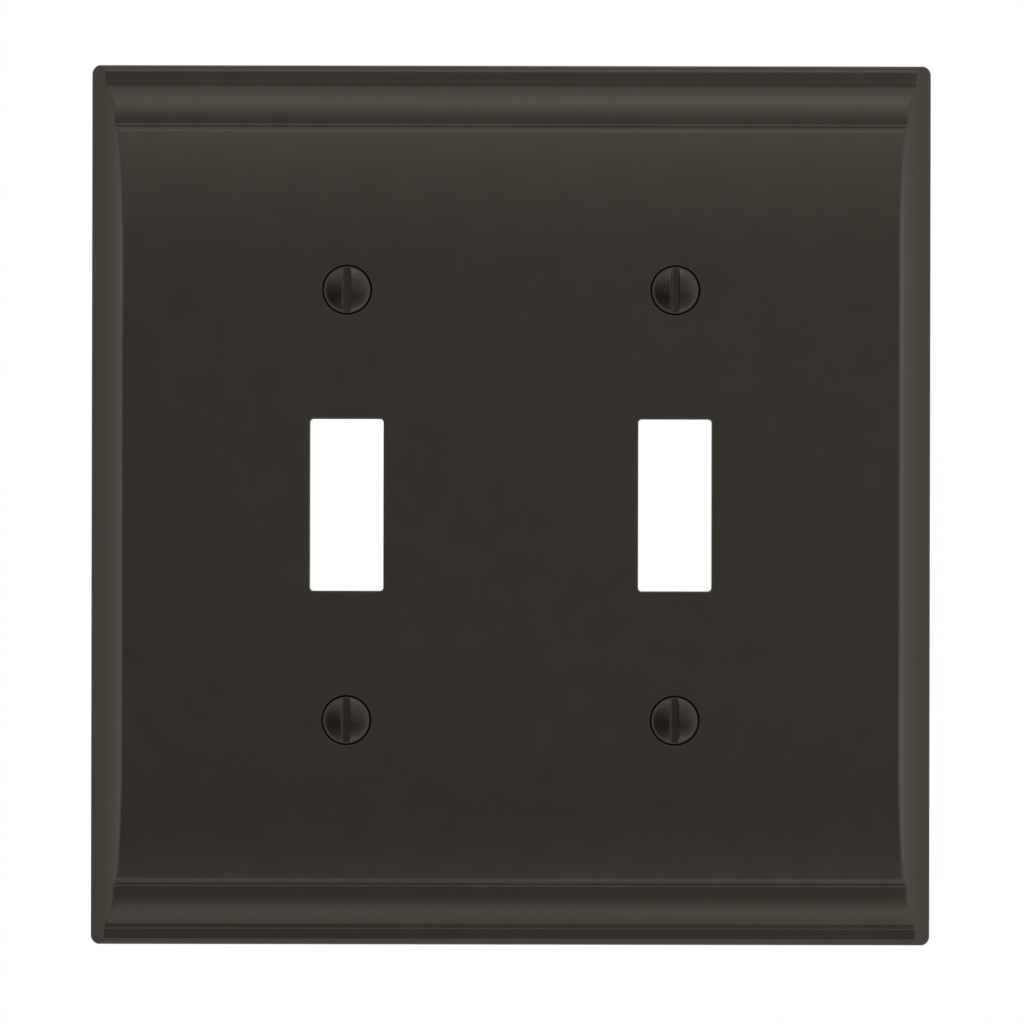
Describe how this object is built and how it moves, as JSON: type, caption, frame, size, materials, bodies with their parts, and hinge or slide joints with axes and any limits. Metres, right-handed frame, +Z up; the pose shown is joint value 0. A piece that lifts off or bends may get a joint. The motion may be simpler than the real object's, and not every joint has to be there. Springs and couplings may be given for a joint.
{
  "type": "toggle switch wall plate",
  "caption": "Dark bronze wall plate that covers toggle switches side by side, with coved sides, moulded top and bottom, and slotted oval-head screws.",
  "frame": {"origin": "centre of the plate on the wall plane, which is the back face of its rim and the centre of the screw pattern", "axes": "+Z up along the taller side, +X across to the right seen from the front, +Y into the wall; the front faces -Y"},
  "size_m": [0.1182, 0.0136, 0.1238],
  "materials": {
    "plate_bronze": "satin",
    "screw_bronze": "satin"
  },
  "bodies": {
    "plate": {"wall_plate": "plate_bronze"},
    "screw_top_left": {"screw_top_left": "screw_bronze"},
    "screw_top_right": {"screw_top_right": "screw_bronze"},
    "screw_bottom_left": {"screw_bottom_left": "screw_bronze"},
    "screw_bottom_right": {"screw_bottom_right": "screw_bronze"}
  },
  "joints": [
    {"name": "screw_top_left_travel", "type": "slide", "parent": "plate", "child": "screw_top_left", "axis": [0, -1, 0], "range_m": [0, 0.0135]},
    {"name": "screw_top_right_travel", "type": "slide", "parent": "plate", "child": "screw_top_right", "axis": [0, -1, 0], "range_m": [0, 0.0135]},
    {"name": "screw_bottom_left_travel", "type": "slide", "parent": "plate", "child": "screw_bottom_left", "axis": [0, -1, 0], "range_m": [0, 0.0135]},
    {"name": "screw_bottom_right_travel", "type": "slide", "parent": "plate", "child": "screw_bottom_right", "axis": [0, -1, 0], "range_m": [0, 0.0135]}
  ]
}
